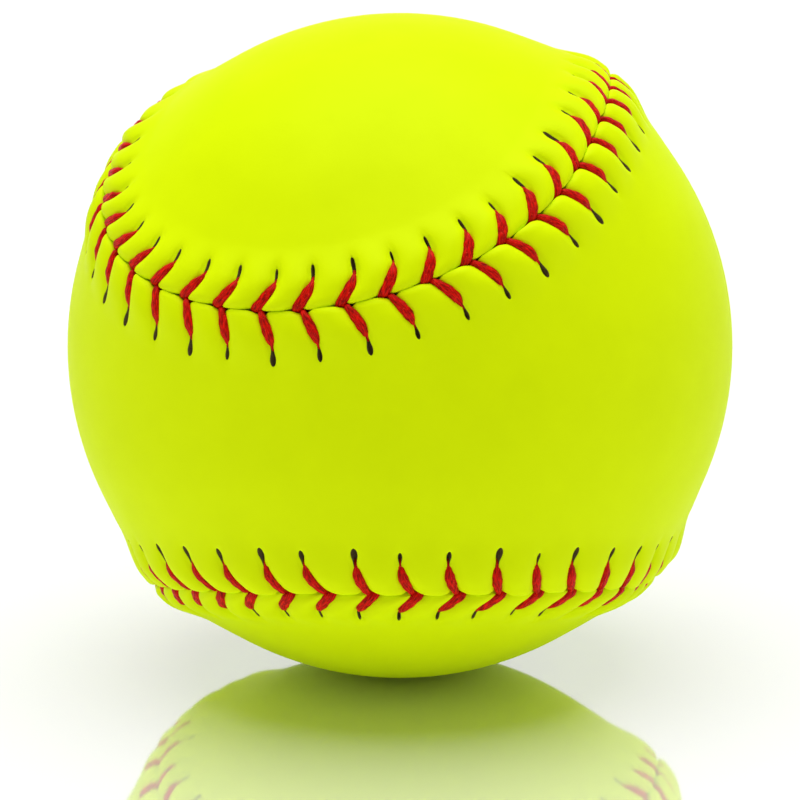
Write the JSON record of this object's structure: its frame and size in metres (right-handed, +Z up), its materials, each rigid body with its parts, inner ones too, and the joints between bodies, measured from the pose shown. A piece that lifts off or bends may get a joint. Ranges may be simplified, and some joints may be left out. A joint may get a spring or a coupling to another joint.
{
  "type": "softball",
  "caption": "Sewn softball with a two-panel optic yellow leather cover, raised seam with red chevron stitches, cement coat, yarn winding and cork core.",
  "frame": {"origin": "centre of the ball", "axes": "+Z is up as the ball lies, and the seam is turned the way it is pictured when seen along +Y"},
  "size_m": [0.097, 0.0994, 0.097],
  "materials": {
    "core_cork": "ground cork bound with rubber",
    "winding_yarn": "twisted undyed yarn",
    "rubber_cement": "dried latex",
    "cover_leather": "smooth dyed satin",
    "waxed_thread": "waxed twist"
  },
  "bodies": {
    "root": {"cork_core": "core_cork", "yarn_winding": "winding_yarn", "cement_coat": "rubber_cement", "cover_panel_a": "cover_leather", "cover_panel_b": "cover_leather", "seam_thread_a": "waxed_thread", "seam_thread_b": "waxed_thread"}
  },
  "joints": []
}
